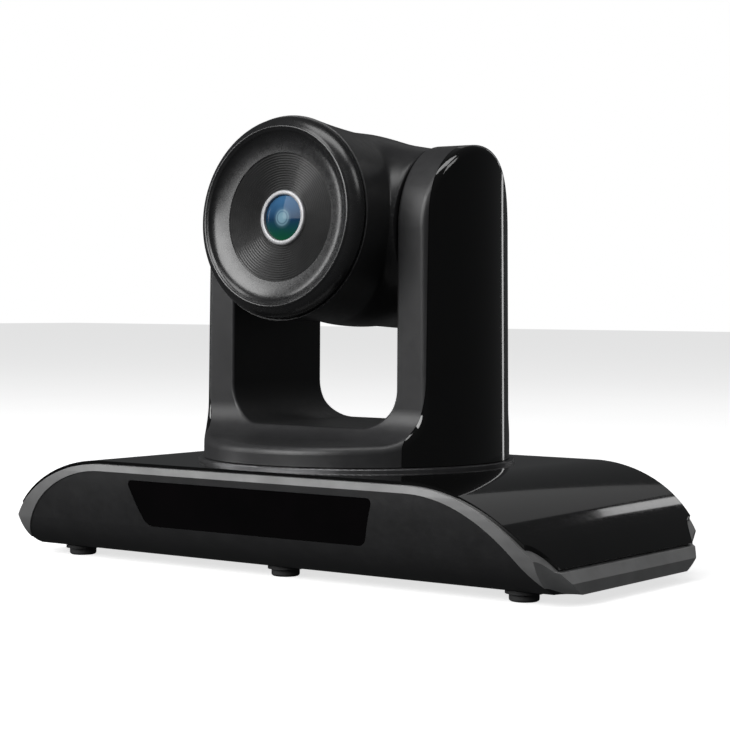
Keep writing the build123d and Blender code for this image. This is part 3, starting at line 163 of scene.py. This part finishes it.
def blend_colours(nodes, links, value, first, second):
    ramp = nodes.new("ShaderNodeValToRGB")
    ramp.color_ramp.elements[0].position = 0.3
    ramp.color_ramp.elements[1].position = 0.7
    ramp.color_ramp.elements[0].color = (*first, 1)
    ramp.color_ramp.elements[1].color = (*second, 1)
    links.new(value, ramp.inputs["Fac"])
    return ramp.outputs["Color"]


def bump(nodes, links, shader, height, distance, strength):
    node = nodes.new("ShaderNodeBump")
    node.inputs["Distance"].default_value = distance
    node.inputs["Strength"].default_value = strength
    links.new(height, node.inputs["Height"])
    links.new(node.outputs["Normal"], shader.inputs["Normal"])


def surface(name, dark, light, rough, grain, depth, strength, metallic=0.0, coat=0.0,
            coat_rough=0.03, specular=0.5, stretch=(1, 1, 1), mottle=90):
    """Moulded, painted or metal surface: mottled colour, uneven roughness, fine grain."""
    material, nodes, links, shader, place = new_material(name)
    shader.inputs["Metallic"].default_value = metallic
    shader.inputs["Coat Weight"].default_value = coat
    shader.inputs["Coat Roughness"].default_value = coat_rough
    shader.inputs["Specular IOR Level"].default_value = specular
    patches = noise(nodes, links, place, mottle, 3.0)
    links.new(blend_colours(nodes, links, patches, dark, light), shader.inputs["Base Color"])
    wear = noise(nodes, links, place, mottle * 4, 4.0, stretch)
    links.new(spread(nodes, links, wear, rough[0], rough[1]), shader.inputs["Roughness"])
    if strength:
        fine = noise(nodes, links, place, grain, 2.0, stretch)
        bump(nodes, links, shader, fine, depth, strength)
    return material


def grey(value, tint=0.0):
    return (value, value, value * (1 + tint))


LOOKS = {
    "base_plastic": surface("base_plastic", grey(0.017, 0.04), grey(0.022, 0.04),
                            (0.44, 0.54), 3200, 0.00006, 0.35),
    "yoke_plastic": surface("yoke_plastic", grey(0.024, 0.04), grey(0.029, 0.04),
                            (0.36, 0.44), 3200, 0.00005, 0.25),
    "head_plastic": surface("head_plastic", grey(0.017, 0.04), grey(0.022, 0.04),
                            (0.30, 0.37), 3600, 0.00004, 0.15),
    "gloss_black": surface("gloss_black", grey(0.0025), grey(0.0035), (0.05, 0.09), 300,
                           0.00002, 0.03, coat=0.5),
    "window_black": surface("window_black", (0.0012, 0.0010, 0.0012), (0.0020, 0.0014, 0.0018),
                            (0.04, 0.07), 300, 0.00002, 0.02, specular=0.3),
    "bezel_black": surface("bezel_black", grey(0.009, 0.05), grey(0.013, 0.05), (0.24, 0.30),
                           400, 0.00002, 0.02, coat=0.25, coat_rough=0.16, specular=0.6),
    "trim_metal": surface("trim_metal", grey(0.50), grey(0.60), (0.40, 0.48), 1400, 0.00003,
                          0.10, metallic=0.8, stretch=(0.06, 1, 1)),
    "ring_silver": surface("ring_silver", grey(0.36, 0.02), grey(0.42, 0.02), (0.44, 0.52),
                           900, 0.00001, 0.02, metallic=0.6),
    "ring_chrome": surface("ring_chrome", grey(0.16, 0.02), grey(0.20, 0.02), (0.38, 0.46),
                           900, 0.00001, 0.05, metallic=1.0),
    "cone_black": surface("cone_black", grey(0.06), grey(0.08), (0.20, 0.26), 3000, 0.00003,
                          0.1, metallic=0.35),
    "rubber": surface("rubber", grey(0.024, 0.03), grey(0.034, 0.03), (0.66, 0.80), 2600,
                      0.00012, 0.5),
    "steel": surface("steel", grey(0.42), grey(0.52), (0.28, 0.40), 1800, 0.00003, 0.15,
                     metallic=1.0, stretch=(1, 1, 0.08)),
    "black_steel": surface("black_steel", grey(0.024), grey(0.032), (0.42, 0.55), 2200,
                           0.00009, 0.4),
    "brass": surface("brass", (0.50, 0.36, 0.13), (0.62, 0.46, 0.20), (0.24, 0.36), 1800,
                     0.00003, 0.12, metallic=1.0),
    "socket_metal": surface("socket_metal", grey(0.50), grey(0.62), (0.24, 0.34), 2000,
                            0.00003, 0.1, metallic=1.0, stretch=(0.1, 1, 1)),
    "socket_black": surface("socket_black", grey(0.016), grey(0.022), (0.38, 0.48), 2600,
                            0.00006, 0.25),
    "gear_white": surface("gear_white", (0.66, 0.65, 0.60), (0.74, 0.73, 0.68), (0.38, 0.50),
                          2400, 0.00004, 0.15),
    "board_green": surface("board_green", (0.010, 0.090, 0.035), (0.018, 0.130, 0.052),
                           (0.26, 0.42), 1500, 0.00005, 0.3),
    "light_clear": surface("light_clear", (0.10, 0.11, 0.12), (0.14, 0.15, 0.17), (0.14, 0.22),
                           1800, 0.00003, 0.1),
    "wire_grey": surface("wire_grey", grey(0.10), grey(0.16), (0.50, 0.64), 900, 0.0002, 0.5,
                         stretch=(1, 1, 0.15)),
}


LENS_EDGE = 7.9            # radius of the front glass


def glass_with_painted_reflections():
    """Front element: painted reflection in green, violet and blue graded from bottom to top, with
    faint painted highlight rings round the axis.
    """
    material, nodes, links, shader, place = new_material("optics")
    centre = nodes.new("ShaderNodeVectorMath")
    centre.operation = "SUBTRACT"
    centre.inputs[1].default_value = head_point(0, 0, 44.0)
    links.new(place.outputs["Object"], centre.inputs[0])
    turn = nodes.new("ShaderNodeVectorRotate")
    turn.rotation_type = "X_AXIS"
    turn.inputs["Angle"].default_value = REST_TILT
    links.new(centre.outputs["Vector"], turn.inputs["Vector"])
    split = nodes.new("ShaderNodeSeparateXYZ")
    links.new(turn.outputs["Vector"], split.inputs["Vector"])

    def maths(operation, first, second):
        node = nodes.new("ShaderNodeMath")
        node.operation = operation
        for socket, value in zip(node.inputs, (first, second)):
            if isinstance(value, (int, float)):
                socket.default_value = value
            else:
                links.new(value, socket)
        return node.outputs["Value"]

    across, height = split.outputs["X"], split.outputs["Z"]
    squares = maths("ADD", maths("MULTIPLY", across, across), maths("MULTIPLY", height, height))
    radius = maths("SQRT", squares, 0)
    share = maths("DIVIDE", radius, LENS_EDGE * MM)
    # painted reflection: glass colour graded by height, green at the bottom through violet to
    # blue at the top
    painted_reflection_height = maths("ADD", maths("MULTIPLY", height, 60), 0.5)
    drift = noise(nodes, links, place, 120, 3.0)
    painted_reflection_height = maths("ADD", painted_reflection_height, maths("MULTIPLY", maths("SUBTRACT", drift, 0.5), 0.35))
    painted_reflection_ramp = nodes.new("ShaderNodeValToRGB")
    stops = painted_reflection_ramp.color_ramp
    stops.elements[0].position, stops.elements[0].color = 0.05, (0.006, 0.075, 0.032, 1)
    stops.elements[1].position, stops.elements[1].color = 0.95, (0.050, 0.150, 0.300, 1)
    middle = stops.elements.new(0.45)
    middle.color = (0.010, 0.038, 0.085, 1)
    links.new(painted_reflection_height, painted_reflection_ramp.inputs["Fac"])
    # painted highlight rings round the axis, white near the centre, mixed toward pale blue over
    # the painted reflection
    painted_ring_glints = nodes.new("ShaderNodeValToRGB")
    rings = painted_ring_glints.color_ramp
    rings.elements[0].position, rings.elements[0].color = 0.0, (1, 1, 1, 1)
    rings.elements[1].position, rings.elements[1].color = 0.52, (0, 0, 0, 1)
    for position, value in ((0.22, 0.9), (0.27, 0.35), (0.33, 0.75), (0.40, 0.15)):
        stop = rings.elements.new(position)
        stop.color = (value, value, value, 1)
    links.new(share, painted_ring_glints.inputs["Fac"])
    mix = nodes.new("ShaderNodeMix")
    mix.data_type = "RGBA"
    mix.inputs["B"].default_value = (0.20, 0.34, 0.42, 1)
    links.new(painted_ring_glints.outputs["Color"], mix.inputs["Factor"])
    links.new(painted_reflection_ramp.outputs["Color"], mix.inputs["A"])
    links.new(mix.outputs["Result"], shader.inputs["Base Color"])
    links.new(spread(nodes, links, drift, 0.03, 0.07), shader.inputs["Roughness"])
    shader.inputs["Coat Weight"].default_value = 0.0
    shader.inputs["Coat Roughness"].default_value = 0.02
    shader.inputs["Specular IOR Level"].default_value = 0.12
    return material


LOOKS["optics"] = glass_with_painted_reflections()


def dress(piece, slot):
    piece.data.materials.clear()
    piece.data.materials.append(LOOKS[slot])


for part in frame["record"]["subparts"]:
    dress(NODES[part["node"]], part["material_slot"])


# ---------------------------------------------------------------- head
def soft_max(a, b, width):
    share = max(width - abs(a - b), 0.0) / width
    return max(a, b) + share * share * width / 4


def soft_min(a, b, width):
    return -soft_max(-a, -b, width)


def barrel_radius(reach):
    """Outer radius of the head's barrel from its back corner to its mouth."""
    if reach <= 12:
        return 33.6 + 0.9 * (reach + 30) / 42
    share = (reach - 12) / (HEAD_FRONT_L - 12)
    return 34.5 + 0.2 * share + 1.2 * share ** 2.2


def hub_radius(reach, angle):
    """How far the double cone between the side discs stands out from the lens axis."""
    across, height = abs(cos(angle)), abs(sin(angle))
    slope = (WAIST_RADIUS - DISC_RADIUS) / (HEAD_SIDE - WAIST_HALF)
    crown = WAIST_RADIUS + slope * WAIST_HALF
    # (height r)^2 + reach^2 = (crown - slope across r)^2
    a = height ** 2 - (slope * across) ** 2
    b = 2 * crown * slope * across
    c = reach ** 2 - crown ** 2
    cone = 0.0
    if c < 0:
        if abs(a) < 1e-6:
            cone = -c / b if b else 0.0
        else:
            cone = (-b + sqrt(max(b * b - 4 * a * c, 0.0))) / (2 * a)
    waist = 0.0
    if reach < WAIST_RADIUS and reach > -WAIST_RADIUS:
        waist = sqrt(WAIST_RADIUS ** 2 - reach ** 2) / max(height, 1e-3)
    shape = min(cone, waist) if waist else 0.0
    side = HEAD_SIDE / max(across, 1e-3)
    return soft_min(shape, side, 1.4) if shape else 0.0


SEAM_GAP = 0.15            # the skin starts this far in front of the seam
SEAM_ROUND = 0.6           # rounding of its edge there
MOUTH_RADIUS, MOUTH_FLOOR = 33.6, 40.5
BORE_RADIUS = 32.2


def head_mesh():
    """Barrel and hub in one smooth skin, with a wall inside it."""
    rings, turns = 150, 432
    back = SEAM_L + SEAM_GAP
    vertices = []
    for i in range(rings + 1):
        reach = back + (HEAD_FRONT_L - back) * i / rings
        edge = min(reach - back, SEAM_ROUND)
        inset = SEAM_ROUND - sqrt(max(SEAM_ROUND ** 2 - (SEAM_ROUND - edge) ** 2, 0.0))
        for k in range(turns):
            angle = 2 * pi * k / turns
            outer = soft_max(barrel_radius(reach), hub_radius(reach, angle), 5.0)
            side = (HEAD_SIDE - 0.02) / max(abs(cos(angle)), 1e-3)
            vertices.append(head_point(min(outer - inset, side) - SKIN_EASE, angle, reach))
    inside = ((HEAD_FRONT_L, MOUTH_RADIUS), (MOUTH_FLOOR, MOUTH_RADIUS),
              (MOUTH_FLOOR, BORE_RADIUS), (back, BORE_RADIUS))
    for reach, radius in inside:
        for k in range(turns):
            vertices.append(head_point(radius, 2 * pi * k / turns, reach))
    faces = grid_faces(rings + 5, turns, True, True)
    shell = make_piece("head_shell_skin", vertices, faces, "head",
                       ["head_shell"], 40)
    dress(shell, "head_plastic")


head_mesh()

BEZEL_FLARE = through((35.3, 44.6), (34.3, 46.9), (32.0, 48.8), 16)
BEZEL_BOWL = through((30.1, 48.8), (27.5, 47.1), (22.6, 46.3), 14)
bezel_profile = [(33.5, 42.5), (33.5, 44.0), (35.0, 44.0), (35.25, 44.2)] + BEZEL_FLARE
bezel_profile += [(31.75, 49.1), (31.5, 49.28), (31.2, 49.3), (30.95, 49.2), (30.6, 48.85)]
bezel_profile += BEZEL_BOWL + [(22.6, 45.3), (28.5, 45.6), (31.2, 44.0), (31.2, 42.5)]
dress(revolve("lens_bezel_skin", bezel_profile, ["lens_bezel"], sharp=50),
      "bezel_black")

RIB_COUNT = 15
RIB_DEPTH = 0.42
CONE_OUTER, CONE_INNER, CONE_FRONT, CONE_DEPTH = 22.5, 9.8, 46.2, 2.2


def cone_profile():
    """Concentric ribs that step down towards the lens, each with a rounded crest."""
    pitch = (CONE_OUTER - CONE_INNER) / RIB_COUNT
    points = []
    for rib in range(RIB_COUNT):
        for step in range(6):
            share = (rib + step / 6) / RIB_COUNT
            crest = 0.5 - 0.5 * cos(2 * pi * step / 6)
            points.append((CONE_OUTER - pitch * (rib + step / 6),
                           CONE_FRONT - CONE_DEPTH * share - RIB_DEPTH * crest))
    points.append((CONE_INNER, CONE_FRONT - CONE_DEPTH))
    return points + [(CONE_INNER, 42.8), (CONE_OUTER, 44.4)]


dress(revolve("lens_cone_skin", cone_profile(), ["lens_cone"], sharp=70),
      "cone_black")

ring_profile = [(9.7, 42.5), (9.7, 44.4), (9.55, 44.7), (9.3, 44.85)]
ring_profile += [(8.4, 44.85), (8.15, 44.75), (8.0, 44.5), (8.0, 42.5)]
dress(revolve("lens_ring_skin", ring_profile, ["lens_ring"]), "ring_silver")


LENS_FRONT, LENS_BACK, LENS_RISE = 44.7, 41.2, 0.9
LENS_STEPS = 24
AXIS_HOLE = 0.02           # smallest radius of a turned piece, so that no face is degenerate


def lens_profile():
    """Domed front and flat back; the sphere follows from the dome's height."""
    sphere = (LENS_EDGE ** 2 + LENS_RISE ** 2) / (2 * LENS_RISE)
    points = [(AXIS_HOLE, LENS_BACK)]
    for step in range(LENS_STEPS + 1):
        radius = LENS_EDGE * step / LENS_STEPS
        dome = LENS_FRONT - sphere + sqrt(sphere ** 2 - radius ** 2)
        points.append((max(radius, AXIS_HOLE), dome))
    return points + [(LENS_EDGE, LENS_BACK)]


dress(revolve("front_lens_skin", lens_profile(), ["front_lens"]), "optics")


# ---------------------------------------------------------------- stage, light and camera
def make_stage():
    """Flat pale floor, with some light of its own and hidden from the object's reflections."""
    mesh = bpy.data.meshes.new("floor")
    work = bmesh.new()
    bmesh.ops.create_grid(work, x_segments=2, y_segments=2, size=6.0)
    work.to_mesh(mesh)
    work.free()
    floor = bpy.data.objects.new("floor", mesh)
    bpy.context.scene.collection.objects.link(floor)
    pale = surface("floor_pale", grey(0.80), grey(0.82), (0.55, 0.65), 40, 0.0001, 0.02, mottle=3)
    shader = pale.node_tree.nodes["Principled BSDF"]
    shader.inputs["Emission Color"].default_value = (1, 1, 1, 1)
    shader.inputs["Emission Strength"].default_value = 0.72
    floor.data.materials.append(pale)
    floor.visible_glossy = False
    floor.visible_diffuse = False


def softbox(name, azimuth, elevation, distance, width, height, power, aim=(0, 0, 0.08)):
    """Area light on a sphere round the object, azimuth as for the views."""
    light = bpy.data.lights.new(name, "AREA")
    light.shape = "RECTANGLE"
    light.size, light.size_y = width, height
    light.energy = power
    lamp = bpy.data.objects.new(name, light)
    a, e = radians(azimuth), radians(elevation)
    away = Vector((sin(a) * cos(e), -cos(a) * cos(e), sin(e)))
    lamp.location = Vector(aim) + away * distance
    lamp.rotation_mode = "QUATERNION"
    lamp.rotation_quaternion = (-away).to_track_quat("-Z", "Y")
    bpy.context.scene.collection.objects.link(lamp)


def make_world():
    """White surround behind the object, dim in reflections so that gloss black stays black."""
    world = bpy.data.worlds.new("studio")
    bpy.context.scene.world = world
    world.use_nodes = True
    nodes, links = world.node_tree.nodes, world.node_tree.links
    dim = nodes["Background"]
    dim.inputs["Color"].default_value = (0.96, 0.98, 1.0, 1)
    dim.inputs["Strength"].default_value = 0.05
    bright = nodes.new("ShaderNodeBackground")
    bright.inputs["Color"].default_value = (1, 1, 1, 1)
    bright.inputs["Strength"].default_value = 1.0
    ray = nodes.new("ShaderNodeLightPath")
    choose = nodes.new("ShaderNodeMixShader")
    links.new(ray.outputs["Is Camera Ray"], choose.inputs[0])
    links.new(dim.outputs["Background"], choose.inputs[1])
    links.new(bright.outputs["Background"], choose.inputs[2])
    links.new(choose.outputs["Shader"], nodes["World Output"].inputs["Surface"])


make_stage()
make_world()
bpy.context.scene.view_settings.view_transform = "Standard"
# key from the front left, a low top light, and cards placed where the gloss faces mirror them
softbox("key", -16, 26, 1.4, 1.1, 0.8, 18)
softbox("top", 20, 76, 1.5, 1.2, 0.6, 8)
softbox("left_strip", -64, 16, 1.4, 0.22, 0.9, 3.2)
softbox("back_card", 199, 33, 1.6, 0.9, 0.5, 0.22)
softbox("right_fill", 84, 42, 1.5, 0.5, 0.5, 2.2)
softbox("edge_strip", 178, 8, 1.5, 0.10, 1.1, 0.5)

CAMERA_PLACE = Vector((0.4365, -0.5896, 0.0956))
LOOK_AZIMUTH, LOOK_DOWN, ROLL = radians(36.12), radians(1.76), radians(0.31)
SENSOR_WIDTH, FOCAL_LENGTH = 36.0, 99.1233
camera_data = bpy.data.cameras.new("camera")
camera_data.sensor_width = SENSOR_WIDTH
camera_data.lens = FOCAL_LENGTH
camera_data.clip_start, camera_data.clip_end = 0.01, 50.0
camera = bpy.data.objects.new("camera", camera_data)
bpy.context.scene.collection.objects.link(camera)
look = Vector((-sin(LOOK_AZIMUTH) * cos(LOOK_DOWN), cos(LOOK_AZIMUTH) * cos(LOOK_DOWN),
               -sin(LOOK_DOWN)))
turn = look.to_track_quat("-Z", "Y").to_matrix() @ Matrix.Rotation(ROLL, 3, "Z")
camera.matrix_world = Matrix.Translation(CAMERA_PLACE) @ turn.to_4x4()
bpy.context.scene.camera = camera
